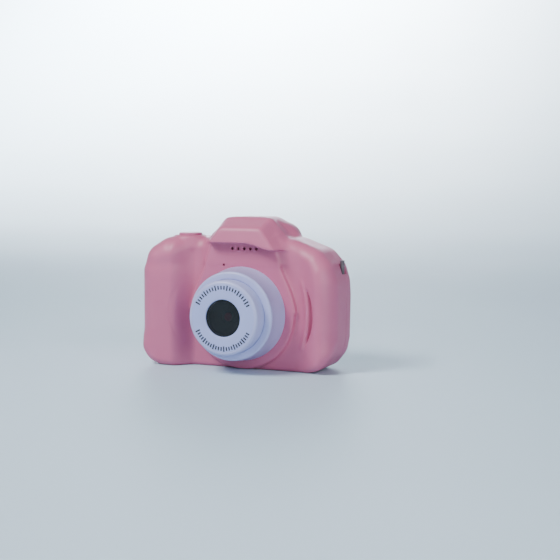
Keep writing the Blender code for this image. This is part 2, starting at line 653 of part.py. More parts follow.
def strap_pins():
    reach = STRAP_HALF_H + 1.3
    low, high = STRAP_Z - reach, STRAP_Z + reach
    profile = ((0, low), (0.85, low), (0.85, high), (0, high))
    for side, word in ((-1, "right_hand"), (1, "left_hand")):
        x = side * (HALF_WIDTH - 1.9)
        turned(f"strap_pin_{word}", profile, "steel", x, 0, 12, "Z", y=SEAM_Y + GAP / 2)


def main():
    clear_scene()
    front_housing()
    rear_housing()
    lens_parts()
    shutter_button()
    key_caps()
    switches()
    display()
    main_board()
    sockets()
    battery_and_sound()
    screws()
    strap_pins()


main()
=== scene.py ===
import math

import bmesh
import bpy
import numpy as np
from mathutils import Matrix, Vector


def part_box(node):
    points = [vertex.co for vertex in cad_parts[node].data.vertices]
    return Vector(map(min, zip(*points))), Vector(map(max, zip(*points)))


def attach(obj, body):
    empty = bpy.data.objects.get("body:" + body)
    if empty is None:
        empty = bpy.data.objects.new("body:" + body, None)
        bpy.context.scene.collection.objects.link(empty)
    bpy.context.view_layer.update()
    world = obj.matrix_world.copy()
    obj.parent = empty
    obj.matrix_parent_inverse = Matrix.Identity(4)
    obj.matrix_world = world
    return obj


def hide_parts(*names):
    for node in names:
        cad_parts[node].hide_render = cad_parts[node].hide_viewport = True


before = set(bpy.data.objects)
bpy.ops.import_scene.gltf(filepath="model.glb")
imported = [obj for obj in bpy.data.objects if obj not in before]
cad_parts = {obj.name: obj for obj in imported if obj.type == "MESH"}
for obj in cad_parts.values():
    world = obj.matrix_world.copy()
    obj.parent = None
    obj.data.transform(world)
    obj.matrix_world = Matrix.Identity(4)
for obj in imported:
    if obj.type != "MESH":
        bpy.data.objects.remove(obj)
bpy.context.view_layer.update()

MM = 0.001


# ---------------------------------------------------------------- places read from the CAD, in millimetres
def span(node):
    low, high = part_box(node)
    return np.array(low) / MM, np.array(high) / MM


def middle(node):
    low, high = span(node)
    return (low + high) / 2


FRONT_HIGH = span("front_housing")[1]
REAR_LOW, REAR_HIGH = span("rear_housing")
COVER_LOW, COVER_HIGH = span("screen_cover")
BARREL_LOW, BARREL_HIGH = span("lens_barrel")
RING_LOW, RING_HIGH = span("lens_base_ring")
SHUTTER_LOW, SHUTTER_HIGH = span("shutter_button")
HALF_W = FRONT_HIGH[0]
TOP_Z = FRONT_HIGH[2]
SEAM_Y = (FRONT_HIGH[1] + REAR_LOW[1]) / 2
BACK_Y = COVER_HIGH[1]
LENS_X, _, LENS_Z = middle("lens_barrel")
LENS_Y = BARREL_LOW[1]
BARREL_R = (BARREL_HIGH[0] - BARREL_LOW[0]) / 2
SHUTTER = middle("shutter_button")
SHUTTER_R = (SHUTTER_HIGH[0] - SHUTTER_LOW[0]) / 2
KEYS = ("up_key", "down_key", "left_key", "right_key", "ok_key", "mode_button", "power_button")
CASE_SCREWS = ("case_screw_1", "case_screw_2", "case_screw_3", "case_screw_4")

# ---------------------------------------------------------------- sizes the CAD doesn't give, in millimetres
SHELL_BOX = (-44, -18, -2), (44, 16, 64)  # what the distance fields are sampled over
SHELL_PITCH, HOLLOW_PITCH = 0.55, 1.3
WALL = 2.0
HALF_SEAM = 0.08  # each shell stops this far short of the seam
LEFT_CREST, RIGHT_CREST, VALLEY_Y, TOWER_Y = -15.4, -12.9, -8.5, -10.7  # depths of the front face
BODY_ROUND = 8.0
BODY_CENTRES = [  # the body's outline, drawn in by BODY_ROUND
    (-30.5, 7.7), (28.5, 7.7), (31.6, 8.6), (33.3, 10.8), (33.9, 14), (34, 30), (33.7, 34.8), (32.6, 38.4),
    (30, 41.3), (21, 44.6), (-29, 44.3), (-32.8, 42.0), (-34, 38.4), (-34, 12), (-33.6, 9.8), (-32.4, 8.3),
]
BASE_PAD_R = 22.4  # the round foot of the tower, around the lens
HUMP_X = LENS_X + 0.3
HUMP_TOP = TOP_Z - 0.2
BROW_FOOT = 50.6
EYECUP_TOP = 58.0
BOSS_TOP = SHUTTER_HIGH[2] - 1.2
BOSS_R = 6.4
SCREW_POST_R = 3.3
STRAP_DEPTH, STRAP_HALF_H = 4.6, 2.1
SOUND_X, SOUND_Z, SOUND_STEP, SOUND_R = LENS_X + 1.2, 48.4, 2.6, 0.6
MIC_X, MIC_Z, MIC_R = LENS_X - 7.8, 41.8, 0.5
RESET_X, RESET_R = 24, 0.6
KEY_GAP, SHUTTER_GAP = 0.22, 0.25
KEY_EASE = 0.35  # the chamfer at the mouth of each key's hole
FLANGE = 0.7  # how far a key's hidden flange reaches past its cap
SIGHT_R = 7.25  # the opening in the printed face plate
WINDOW_SEAT_R = 8.3
SHARP_DEGREES, SHELL_SHARP_DEGREES = 34, 38  # edges sharper than this are shaded flat


# ---------------------------------------------------------------- distance fields for the moulded shells
def blend_min(a, b, width):
    share = np.clip(0.5 + 0.5 * (b - a) / width, 0, 1)
    return b + (a - b) * share - width * share * (1 - share)


def blend_max(a, b, width):
    return -blend_min(-a, -b, width)


def ease(t):
    t = np.clip(t, 0, 1)
    return t * t * (3 - 2 * t)


def fillet(a, b, radius):
    """The intersection of two fields, with a true radius on the edge between them."""
    a, b = a + radius, b + radius
    return np.minimum(np.maximum(a, b), 0) + np.hypot(np.maximum(a, 0), np.maximum(b, 0)) - radius


def polygon(x, z, corners):
    """Signed distance to a closed polygon, negative inside."""
    best = np.full(x.shape, 1e9)
    sign = np.ones(x.shape)
    for i, (ax, az) in enumerate(corners):
        bx, bz = corners[i - 1]
        ex, ez = bx - ax, bz - az
        share = np.clip(((x - ax) * ex + (z - az) * ez) / (ex * ex + ez * ez), 0, 1)
        best = np.minimum(best, (x - ax - ex * share) ** 2 + (z - az - ez * share) ** 2)
        above, below = z >= az, z < bz
        left = ex * (z - az) > ez * (x - ax)
        flip = (above & below & left) | (~above & ~below & ~left)
        sign = np.where(flip, -sign, sign)
    return sign * np.sqrt(best)


def body_outline(x, z):
    return polygon(x, z, BODY_CENTRES) - BODY_ROUND


def tower_outline(x, z):
    """Flanks that flare downwards, run into the round pad behind the lens."""
    u = x - LENS_X
    flank = np.abs(u) - (13.4 + np.clip(50.5 - z, 0, None) * 0.34)
    flank = np.maximum(flank * 0.94, LENS_Z + 2 - z)
    pad = np.hypot(u, z - LENS_Z) - BASE_PAD_R
    return blend_min(flank, pad, 3.0)


def crescent(x, z, side):
    """How deep the finger groove beside the lens is: steep at its outer arc, shallow at its inner one."""
    u, v = side * (x - LENS_X), z - LENS_Z
    within = 20.0 - np.hypot(u - 10.8, v)
    beyond = np.hypot(u + 9.7, v) - 37.7
    groove = ease(within / 0.6) * ease(beyond / 1.9)
    lip = np.exp(-(((beyond + 0.7) / 0.75) ** 2)) * ease((15.5 - np.abs(v)) / 4) * (u > 0)
    return (2.1 * groove - 0.5 * lip) * (1.0 if side > 0 else 0.1)


def front_surface(x, z):
    """The depth (y) of the front face: valleys, grips and the finger grooves beside the lens."""
    left = ease((-18.6 - x) / 8.4)
    right = ease((x - 26.0) / 11.5)
    face = VALLEY_Y + (LEFT_CREST - VALLEY_Y) * left + (RIGHT_CREST - VALLEY_Y) * right
    dip = np.exp(-(((z - 41.5) / 2.6) ** 2)) * left * ease((x + 44) / 4)
    face = face + 0.45 * dip
    return face + crescent(x, z, -1) + crescent(x, z, 1)


def tower_form(x, y, z):
    """The flared panel behind the lens, from its round foot up into the brow."""
    form = blend_max(tower_outline(x, z), TOWER_Y - y, 1.1)
    return np.maximum(np.maximum(form, z - 53.0), y + 2)


def body_form(x, y, z):
    """The body without its hump: rounder over the grips, tighter along the base."""
    grip = ease((np.abs(x - 3) - 22) / 10)
    radius = (5.0 + 3.0 * grip) * (1 - 0.6 * ease((15 - z) / 12))
    form = fillet(body_outline(x, z), 0.93 * (front_surface(x, z) - y), radius)
    return fillet(form, y - BACK_Y, 4.6)


def hump_form(x, y, z):
    """The viewfinder hump: a roof that falls towards the brow, between sloping flanks."""
    u = x - HUMP_X
    roof = z - (HUMP_TOP - 0.44 * np.clip(-3.6 - y, 0, None))
    flanks = 0.74 * (np.abs(u) - 8.1) + 0.67 * (z - TOP_Z)
    sides = np.abs(u) - 17.2
    form = blend_max(blend_max(roof, flanks, 2.4), sides, 2.4)
    form = blend_max(form, 0.9 * (-7.4 - 0.38 * np.clip(55 - z, -6, 5) - y), 2.0)
    form = blend_max(form, 43 - z, 1.0)
    return fillet(form, y - 11.4, 2.2)


def eyecup_form(x, y, z):
    """The raised block behind the hump, around the eye opening."""
    u = np.abs(x - LENS_X)
    form = blend_max(z - EYECUP_TOP, 0.707 * (u + z - 71.0), 1.6)
    form = blend_max(form, u - 16.6, 1.8)
    form = blend_max(form, 45 - z, 1.0)
    form = fillet(form, y - REAR_HIGH[1], 1.7)
    return blend_max(form, 0.8 * (5.0 - y) + 0.45 * (u - 12), 2.0)


def brow_form(x, y, z):
    """The overhang above the lens: a wedge whose face leans forward to its lower edge."""
    u = np.abs(x - HUMP_X)
    lean = -13.5 - (57.0 - z) * 0.2
    foot = BROW_FOOT - 2.4 * ease((x - LENS_X - 3.0) / 11.0)
    flank = 0.74 * (u - 13.2 + 0.76 * (z - BROW_FOOT) - 0.50 * (y - lean))
    form = blend_max(0.976 * (lean - y), flank, 1.1)
    form = blend_max(form, 0.915 * (z - (HUMP_TOP - 0.42 * np.clip(-3.6 - y, 0, None))), 1.1)
    form = blend_max(form, foot - z, 0.8)
    return blend_max(form, y + 3.4, 1.0)


def boss_form(x, y, z):
    """The low round boss under the shutter button."""
    wall = np.hypot(x - SHUTTER[0], y - SHUTTER[1]) - BOSS_R - 0.14 * np.clip(BOSS_TOP - z, 0, 4)
    return blend_max(fillet(wall, z - BOSS_TOP, 0.9), 48.0 - z, 1.0)


def shell_form(x, y, z):
    """The outside of both shells as one form, on a flat base."""
    form = blend_min(body_form(x, y, z), boss_form(x, y, z), 1.6)
    form = blend_min(form, tower_form(x, y, z), 1.2)
    form = blend_min(form, hump_form(x, y, z), 2.4)
    form = blend_min(form, eyecup_form(x, y, z), 2.6)
    form = blend_min(form, brow_form(x, y, z), 0.9)
    return blend_max(blend_max(form, -z, 0.5), y - REAR_HIGH[1], 0.4)


def hollow_form(x, y, z):
    """The inside of the shells, which leaves the screw posts and the walls of the two strap pockets."""
    strap_z = middle("strap_pin_left_hand")[2]
    from_pocket = np.maximum(HALF_W - STRAP_DEPTH - np.abs(x), np.abs(z - strap_z) - STRAP_HALF_H)
    from_pocket = np.maximum(from_pocket, np.abs(y - 4.4) - 2.8)
    form = np.maximum(shell_form(x, y, z) + WALL, 1.4 - from_pocket)
    for screw in CASE_SCREWS:
        at_x, _, at_z = middle(screw)
        form = np.maximum(form, SCREW_POST_R - np.hypot(x - at_x, z - at_z))
    return form


# ---------------------------------------------------------------- meshes from fields
def crossings(field, coords):
    """The mean crossing point of each cell that the surface passes through, and the cells' numbering."""
    size = [n - 1 for n in field.shape]
    total = np.zeros((*size, 3))
    count = np.zeros(size)
    for axis in range(3):
        for a in (0, 1):
            for b in (0, 1):
                shift = [a, b]
                shift.insert(axis, 0)
                first = tuple(slice(s, s + n) for s, n in zip(shift, size))
                shift[axis] = 1
                second = tuple(slice(s, s + n) for s, n in zip(shift, size))
                f, g = field[first], field[second]
                hit = (f < 0) != (g < 0)
                share = np.where(hit, f / np.where(hit, f - g, 1), 0)
                for k in range(3):
                    start, end = coords[k][first], coords[k][second]
                    total[..., k] += np.where(hit, start + (end - start) * share, 0)
                count += hit
    used = count > 0
    number = np.full(size, -1)
    number[used] = np.arange(used.sum())
    return total[used] / count[used][:, None], number


def quads(field, number):
    """One quad across every grid edge that the surface crosses, facing out."""
    faces = []
    for axis in range(3):
        others = [k for k in range(3) if k != axis]
        size = list(field.shape)
        size[axis] -= 1
        inner = [slice(None)] * 3
        for k in others:
            inner[k] = slice(1, size[k] - 1)
        low = field[tuple(slice(0, -1) if k == axis else inner[k] for k in range(3))]
        high = field[tuple(slice(1, None) if k == axis else inner[k] for k in range(3))]
        hit = (low < 0) != (high < 0)
        at = np.argwhere(hit)
        at[:, others[0]] += 1
        at[:, others[1]] += 1
        ring = []
        for a, b in ((0, 0), (1, 0), (1, 1), (0, 1)):
            cell = at.copy()
            cell[:, others[0]] -= a
            cell[:, others[1]] -= b
            ring.append(number[tuple(cell.T)])
        ring = np.stack(ring, axis=1)
        outward = (low < 0)[hit] ^ (axis == 1)
        ring[~outward] = ring[~outward][:, ::-1]
        faces.append(ring)
    return np.concatenate(faces)


def settle(form, points, reach):
    """Moves each point onto the surface, along the field's slope."""
    small = 0.02
    steps = np.eye(3) * small
    for _ in range(4):
        value = form(*points.T)
        slope = np.stack([(form(*(points + d).T) - form(*(points - d).T)) / (2 * small) for d in steps])
        length = np.maximum((slope**2).sum(0), 0.05)
        move = np.clip(value / length, -reach, reach) * slope
        points = points - move.T
    return points


def skin(name, form, pitch):
    """A closed mesh on the zero surface of a form."""
    axes = [np.arange(a, b + pitch, pitch) for a, b in zip(*SHELL_BOX)]
    coords = np.meshgrid(*axes, indexing="ij")
    field = form(*coords)
    points, number = crossings(field, coords)
    points = settle(form, points, 0.3 * pitch)
    return mesh_object(name, points, quads(field, number))


def mesh_object(name, points, faces):
    data = bpy.data.meshes.new(name)
    data.from_pydata((np.asarray(points) * MM).tolist(), [], np.asarray(faces).tolist())
    obj = bpy.data.objects.new(name, data)
    bpy.context.scene.collection.objects.link(obj)
    return obj


# ---------------------------------------------------------------- turned and moulded pieces
def arc(centre, radius, start, end, steps=6):
    """Points on an arc in (radius, height), angles in degrees."""
    points = []
    for k in range(steps + 1):
        angle = math.radians(start + (end - start) * k / steps)
        points.append((centre[0] + radius * math.cos(angle), centre[1] + radius * math.sin(angle)))
    return points


def turned(name, profile, centre, along="Y", steps=128):
    """A turned solid from a closed profile of (radius, height); its height runs along Y or Z."""
    bm = bmesh.new()
    points = [bm.verts.new((r, 0, h)) for r, h in profile]
    on_axis = profile[0][0] == 0 and profile[-1][0] == 0
    pairs = list(zip(points, points[1:] + ([] if on_axis else points[:1])))
    edges = [bm.edges.new(pair) for pair in pairs]
    bmesh.ops.spin(bm, geom=points + edges, axis=(0, 0, 1), cent=(0, 0, 0), angle=2 * math.pi, steps=steps)
    bmesh.ops.remove_doubles(bm, verts=bm.verts, dist=1e-4)
    if along == "Y":
        bmesh.ops.rotate(bm, verts=bm.verts, matrix=Matrix.Rotation(math.pi / 2, 3, "X"))
        bmesh.ops.scale(bm, verts=bm.verts, vec=(1, -1, 1))
    bmesh.ops.recalc_face_normals(bm, faces=bm.faces)
    bmesh.ops.translate(bm, verts=bm.verts, vec=centre)
    return finish_mesh(name, bm)


def finish_mesh(name, bm):
    bmesh.ops.scale(bm, verts=bm.verts, vec=(MM, MM, MM))
    data = bpy.data.meshes.new(name)
    bm.to_mesh(data)
    bm.free()
    data.shade_smooth()
    data.set_sharp_from_angle(angle=math.radians(SHARP_DEGREES))
    obj = bpy.data.objects.new(name, data)
    bpy.context.scene.collection.objects.link(obj)
    return obj


def plate(name, low, high, corner, edge=0):
    """A slab in the XZ plane with round corners and, where edge is given, softened rims."""
    bm = bmesh.new()
    size = Vector(high) - Vector(low)
    centre = (Vector(high) + Vector(low)) / 2
    bmesh.ops.create_cube(bm, size=1, matrix=Matrix.Translation(centre) @ Matrix.Diagonal((*size, 1)))
    upright = [e for e in bm.edges if abs((e.verts[0].co - e.verts[1].co).y) > 1e-6]
    bmesh.ops.bevel(bm, geom=upright, offset=corner, segments=8, affect="EDGES", profile=0.5)
    if edge:
        rims = [e for e in bm.edges if abs((e.verts[0].co - e.verts[1].co).y) < 1e-6]
        rims = [e for e in rims if len(e.link_faces) == 2 and e.calc_face_angle() > 1.0]
        bmesh.ops.bevel(bm, geom=rims, offset=edge, segments=4, affect="EDGES", profile=0.5)
    bmesh.ops.recalc_face_normals(bm, faces=bm.faces)
    return finish_mesh(name, bm)


def carve(target, tools):
    """Cuts all the tools out of the target and keeps the plain result."""
    for tool in tools:
        modifier = target.modifiers.new(tool.name, "BOOLEAN")
        modifier.operation = "DIFFERENCE"
        modifier.object = tool
        modifier.solver = "MANIFOLD"
    bpy.context.view_layer.update()
    graph = bpy.context.evaluated_depsgraph_get()
    result = bpy.data.meshes.new_from_object(target.evaluated_get(graph))
    target.modifiers.clear()
    target.data = result
    result.shade_smooth()
    result.set_sharp_from_angle(angle=math.radians(SHELL_SHARP_DEGREES))
    for tool in tools:
        bpy.data.objects.remove(tool)
    return target


# ---------------------------------------------------------------- materials
def noise(tree, source, scale, detail=3.0):
    node = tree.nodes.new("ShaderNodeTexNoise")
    node.inputs["Scale"].default_value = scale
    node.inputs["Detail"].default_value = detail
    tree.links.new(source.outputs["Object"], node.inputs["Vector"])
    return node.outputs["Fac"]


def ramp(tree, value, low, high):
    node = tree.nodes.new("ShaderNodeValToRGB")
    for element, place, colour in zip(node.color_ramp.elements, (0.3, 0.7), (low, high)):
        element.position = place
        element.color = (*colour, 1)
    tree.links.new(value, node.inputs["Fac"])
    return node.outputs["Color"]


def spread(tree, value, low, high):
    node = tree.nodes.new("ShaderNodeMapRange")
    node.inputs["To Min"].default_value = low
    node.inputs["To Max"].default_value = high
    tree.links.new(value, node.inputs["Value"])
    return node.outputs["Result"]


def moulded(name, dark, light, rough=(0.4, 0.5), patch=90, grain=2600, depth=0.03, **sockets):
    """Moulded plastic or coated metal: slow colour drift, uneven gloss and a fine surface grain."""
    made = bpy.data.materials.new(name)
    made.use_nodes = True
    tree = made.node_tree
    shader = tree.nodes["Principled BSDF"]
    source = tree.nodes.new("ShaderNodeTexCoord")
    drift = noise(tree, source, patch)
    tree.links.new(ramp(tree, drift, dark, light), shader.inputs["Base Color"])
    wear = noise(tree, source, patch * 3.1, 4.0)
    tree.links.new(spread(tree, wear, *rough), shader.inputs["Roughness"])
    bump = tree.nodes.new("ShaderNodeBump")
    bump.inputs["Strength"].default_value = depth
    bump.inputs["Distance"].default_value = 0.0004
    tree.links.new(noise(tree, source, grain, 2.0), bump.inputs["Height"])
    tree.links.new(bump.outputs["Normal"], shader.inputs["Normal"])
    for socket, value in sockets.items():
        shader.inputs[socket.replace("_", " ")].default_value = value
    return made


def tint(red, green, blue):
    """A linear colour from 8-bit sRGB values."""
    shares = [c / 255 for c in (red, green, blue)]
    return tuple(c / 12.92 if c <= 0.0393 else ((c + 0.055) / 1.055) ** 2.4 for c in shares)


PINK = moulded("pink_shell", tint(189, 101, 136), tint(194, 106, 140), (0.42, 0.5), grain=3400, depth=0.05)
KEY_PINK = moulded("pink_key", tint(186, 100, 138), tint(191, 105, 142), (0.36, 0.44), grain=3000, depth=0.04)
WHITE = moulded("white_lens", tint(170, 175, 221), tint(175, 180, 225), (0.32, 0.4), grain=3000)
FACE = moulded("face_plate", tint(160, 170, 221), tint(165, 175, 225), (0.36, 0.42), grain=3600, depth=0.02)
INK = moulded("print_ink", tint(36, 38, 50), tint(44, 45, 58), (0.45, 0.55), grain=5000, depth=0.02)
BLACK = moulded("black_plastic", tint(14, 15, 19), tint(20, 21, 26), (0.45, 0.6), grain=3000, depth=0.06)
MATT_BLACK = moulded("matt_black", tint(4, 7, 13), tint(6, 9, 16), (0.7, 0.8), grain=3000, depth=0.008)
SMOKE = moulded("smoked_cover", tint(6, 8, 12), tint(9, 11, 16), (0.05, 0.09), grain=600, depth=0.004)
WINDOW = moulded(
    "window_glass", tint(2, 5, 12), tint(4, 8, 17), (0.03, 0.06), grain=60, depth=0.001, Alpha=0.66
)
# painted reflection: the front element's magenta base colour stands in for the glint off its coating
PAINTED_REFLECTION_PINK = moulded("glass_painted_reflection", tint(250, 60, 116), tint(255, 80, 140), (0.16, 0.22), grain=800, depth=0.002)
BOARD = moulded(
    "board_green", tint(18, 92, 56), tint(26, 108, 66), (0.3, 0.45), patch=400, grain=1800, depth=0.1
)
AMBER = moulded("flex_amber", tint(168, 108, 40), tint(190, 126, 52), (0.3, 0.42), patch=300)
STEEL = moulded(
    "steel", tint(176, 178, 182), tint(198, 200, 204), (0.24, 0.36), patch=500, depth=0.08, Metallic=1.0
)
DARK_STEEL = moulded("dark_steel", tint(88, 80, 88), tint(104, 96, 104), (0.35, 0.5), patch=500, depth=0.08)
FOIL = moulded(
    "cell_foil", tint(150, 154, 162), tint(172, 175, 182), (0.3, 0.45), patch=160, depth=0.15, Metallic=0.8
)
DISPLAY = moulded("display_dark", tint(16, 19, 24), tint(22, 26, 32), (0.12, 0.2), patch=200)
RED_WIRE = moulded("wire_red", tint(168, 24, 20), tint(190, 34, 28), (0.4, 0.55), patch=600)
BLACK_WIRE = moulded("wire_black", tint(18, 18, 20), tint(30, 30, 32), (0.4, 0.55), patch=600)


def dress(obj, finish, slot, *nodes, body="body"):
    """Gives a piece its material and the body it moves with, and hides the CAD nodes that it stands for."""
    obj.data.materials.clear()
    obj.data.materials.append(finish)
    if nodes:
        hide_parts(*nodes)
    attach(obj, body)
    return obj


# ---------------------------------------------------------------- camera and light
AZIMUTH, ELEVATION, ROLL = math.radians(24), math.radians(6), math.radians(0.2)
DISTANCE = 0.4626
CAMERA_AIM = (1.4 * MM, 0, 28 * MM)
LIGHT_AIM = (0, 0, 0.03)
FLOOR_HALF_W, FLOOR_FRONT, FLOOR_BACK, SWEEP_R, SWEEP_TOP = 3.0, -1.5, 0.6, 2.0, 4.0


def camera():
    level = math.cos(ELEVATION)
    back = Vector((math.sin(AZIMUTH) * level, -math.cos(AZIMUTH) * level, math.sin(ELEVATION)))
    data = bpy.data.cameras.new("camera")
    data.sensor_width = 36
    data.lens = 72.95
    data.shift_x = 0.0558
    data.shift_y = 0.0306
    obj = bpy.data.objects.new("camera", data)
    obj.location = Vector(CAMERA_AIM) + back * DISTANCE
    turn = back.to_track_quat("Z", "Y").to_matrix() @ Matrix.Rotation(ROLL, 3, "Z")
    obj.rotation_euler = turn.to_euler()
    bpy.context.scene.collection.objects.link(obj)
    bpy.context.scene.camera = obj


def lamp(name, place, aim, size, power, colour, spread_degrees=180):
    data = bpy.data.lights.new(name, "AREA")
    data.spread = math.radians(spread_degrees)
    data.shape = "DISK"
    data.size = size
    data.energy = power
    data.color = colour
    obj = bpy.data.objects.new(name, data)
    obj.location = place
    obj.rotation_euler = (Vector(place) - Vector(aim)).to_track_quat("Z", "Y").to_euler()
    bpy.context.scene.collection.objects.link(obj)


def studio():
    """A pale world, three soft lamps and a floor that sweeps up into the backdrop, in metres."""
    world = bpy.data.worlds.new("studio")
    world.use_nodes = True
    background = world.node_tree.nodes["Background"]
    background.inputs["Color"].default_value = (*tint(214, 222, 232), 1)
    background.inputs["Strength"].default_value = 0.4
    bpy.context.scene.world = world
    lamp("key", (-0.3, -0.45, 0.64), LIGHT_AIM, 0.34, 7.6, (1.0, 0.99, 0.98))
    lamp("fill", (0.6, -0.45, 0.3), LIGHT_AIM, 0.6, 3.2, (0.97, 0.98, 1.0))
    lamp("backdrop", (-1.0, 2.1, 1.7), (-1.0, 2.1, 0), 1.2, 150.0, (1.0, 1.0, 1.0), 90)
    floor = moulded(
        "floor", tint(186, 208, 224), tint(190, 212, 227), (0.5, 0.6), patch=3, grain=300, depth=0.01
    )
    angles = [math.pi / 2 * k / 12 for k in range(13)]
    rise = [(FLOOR_BACK + SWEEP_R * math.sin(a), SWEEP_R * (1 - math.cos(a))) for a in angles]
    profile = [(FLOOR_FRONT, 0.0), *rise, (FLOOR_BACK + SWEEP_R, SWEEP_TOP)]
    points = [(x / MM, y / MM, z / MM) for x in (-FLOOR_HALF_W, FLOOR_HALF_W) for y, z in profile]
    count = len(profile)
    faces = [(i, i + 1, count + i + 1, count + i) for i in range(count - 1)]
    sweep = mesh_object("floor", points, faces)
    sweep.data.shade_smooth()
    sweep.data.materials.append(floor)


# ---------------------------------------------------------------- the shells
def pocket(name, side, y_from, y_to):
    """The cutter for one shell's half of a strap pocket."""
    pin_low, pin_high = span("strap_pin_left_hand" if side > 0 else "strap_pin_right_hand")
    outer, inner = side * (HALF_W + 2), side * (HALF_W - STRAP_DEPTH)
    low = (min(outer, inner), y_from, pin_low[2] + 1.3)
    high = (max(outer, inner), y_to, pin_high[2] - 1.3)
    return plate(name, low, high, 0.6)


def bore(name, radius, start, end, centre, along="Y", steps=24):
    """The cutter for a round hole from start to end along its axis."""
    profile = ((0, start), (radius, start), (radius, end), (0, end))
    return turned(name, profile, centre, along, steps)


def key_cap_radius(node):
    low, high = span(node)
    return (high[0] - low[0]) / 2 - FLANGE


def front_shell():
    shell = skin("front_shell", shell_form, SHELL_PITCH)
    tools = [
        plate("behind_seam", (-60, SEAM_Y - HALF_SEAM, -20), (60, 60, 90), 1),
        skin("front_hollow", hollow_form, HOLLOW_PITCH),
        bore("lens_hole", 17.3, -14, -3, (LENS_X, 0, LENS_Z), steps=128),
        bore("shaft", SHUTTER_R + SHUTTER_GAP, 40, 60, (*SHUTTER[:2], 0), "Z", 128),
        bore("mic_hole", MIC_R, -14, -5, (MIC_X, 0, MIC_Z)),
        pocket("front_pocket_left", -1, 1.6, 6),
        pocket("front_pocket_right", 1, 1.6, 6),
    ]
    for k in range(5):
        x = SOUND_X + SOUND_STEP * (k - 2)
        tools.append(bore(f"sound_hole_{k}", SOUND_R, -12, -4.6, (x, 0, SOUND_Z)))
    card_low, card_high = span("card_slot")
    tools.append(plate("card_mouth", (card_low[0] + 0.4, -0.6, -4), (card_high[0] - 0.4, 2.1, 3), 0.4))
    usb_low, usb_high = span("usb_socket")
    tools.append(plate("usb_mouth", (usb_low[0] - 0.55, -1.7, -4), (usb_high[0] + 0.55, 2.1, 3), 0.6))
    for screw in CASE_SCREWS:
        x, _, z = middle(screw)
        tools.append(bore(screw + "_pilot", 1.25, -5.5, 6, (x, 0, z)))
    tools.append(bore("reset_hole", RESET_R, -4, 3, (RESET_X, 0, 0), "Z"))
    dress(carve(shell, tools), PINK, "pink_shell", "front_housing")


def rear_shell():
    shell = skin("rear_shell", shell_form, SHELL_PITCH)
    tools = [
        plate("before_seam", (-60, -60, -20), (60, SEAM_Y + HALF_SEAM, 90), 1),
        skin("rear_hollow", hollow_form, HOLLOW_PITCH),
        plate("cover_recess", COVER_LOW - (0.2, 0.1, 0.2), COVER_HIGH + (0.2, 4, 0.2), 2.2),
        plate("cover_window", COVER_LOW + (2.2, -3, 2.2), COVER_HIGH + (-2.2, 4, -2.2), 1.0),
        pocket("rear_pocket_left", -1, 3, 7.2),
        pocket("rear_pocket_right", 1, 3, 7.2),
    ]
    for node in KEYS:
        radius = key_cap_radius(node) + KEY_GAP
        mouth = radius + KEY_EASE
        x, _, z = middle(node)
        hole = ((0, 9), (radius, 9), (radius, BACK_Y - KEY_EASE), (mouth, BACK_Y), (mouth, 20), (0, 20))
        tools.append(turned(node + "_hole", hole, (x, 0, z), steps=64))
    for screw in CASE_SCREWS:
        x, _, z = middle(screw)
        shank = ((0, 2), (1.35, 2), (1.35, 8.6))
        hole = (*shank, (2.5, 8.6), (2.5, BACK_Y - 0.3), (2.8, BACK_Y), (2.8, 20), (0, 20))
        tools.append(turned(screw + "_bore", hole, (x, 0, z), steps=48))
    dress(carve(shell, tools), PINK, "pink_shell", "rear_housing")


# ---------------------------------------------------------------- the lens
LENS_CENTRE = (LENS_X, 0, LENS_Z)


def lens_ring():
    """The stepped ring that the barrel stands on, with a slope from its widest part to its nose."""
    outer = (RING_HIGH[0] - RING_LOW[0]) / 2
    front, back = RING_LOW[1], RING_HIGH[1]
    inner = BARREL_R + 0.35
    profile = [
        (BARREL_R + 0.05, back), (17.0, back), (17.0, TOWER_Y), (outer, TOWER_Y), (outer - 1.25, front + 1.1),
        *arc((outer - 2.2, front + 1.0), 1.0, 0, -90), (inner, front),
        *arc((inner, front + 0.3), 0.3, -90, -180, 4),
    ]
    dress(turned("lens_ring", profile, LENS_CENTRE, steps=160), WHITE, "white_plastic", "lens_base_ring")


def lens_tube():
    """The barrel: a rounded nose, a recess for the face plate and a seat for the window."""
    face_low, face_high = span("lens_face_plate")
    recess_r, recess_y = (face_high[0] - face_low[0]) / 2 + 0.02, LENS_Y + 1.0
    seat_y, step_y, step_r = LENS_Y + 2.5, LENS_Y + 3.7, 7.2
    inner = BARREL_R - 1.8
    profile = [
        (inner, BARREL_HIGH[1]), (BARREL_R, BARREL_HIGH[1]),
        *arc((BARREL_R - 1.25, LENS_Y + 1.25), 1.25, 0, -90, 10),
        (recess_r, LENS_Y), (recess_r, recess_y), (8.5, recess_y), (8.5, seat_y),
        (step_r, seat_y), (step_r, step_y), (inner, step_y),
    ]
    dress(turned("lens_tube", profile, LENS_CENTRE, steps=160), WHITE, "white_plastic", "lens_barrel")


def lens_face():
    low, high = span("lens_face_plate")
    radius, front, back = (high[0] - low[0]) / 2, low[1], high[1]
    profile = [
        (SIGHT_R, back), (radius, back), *arc((radius - 0.06, front + 0.06), 0.06, 0, -90, 3),
        *arc((SIGHT_R + 0.35, front + 0.35), 0.35, -90, -180, 4),
    ]
    dress(turned("lens_face", profile, LENS_CENTRE, steps=160), FACE, "white_plastic", "lens_face_plate")


def lens_window():
    """The clear disc, whose middle stands up into the opening of the face plate."""
    low, high = span("lens_window")
    proud = span("lens_face_plate")[0][1] + 0.3
    rim = SIGHT_R - 0.1
    profile = [
        (0, proud), (SIGHT_R - 0.2, proud), (rim, proud + 0.1), (rim, low[1]),
        (WINDOW_SEAT_R, low[1]), (WINDOW_SEAT_R, high[1]), (0, high[1]),
    ]
    window = turned("lens_window_glass", profile, LENS_CENTRE)
    dress(window, WINDOW, "smoked_acrylic", "lens_window")


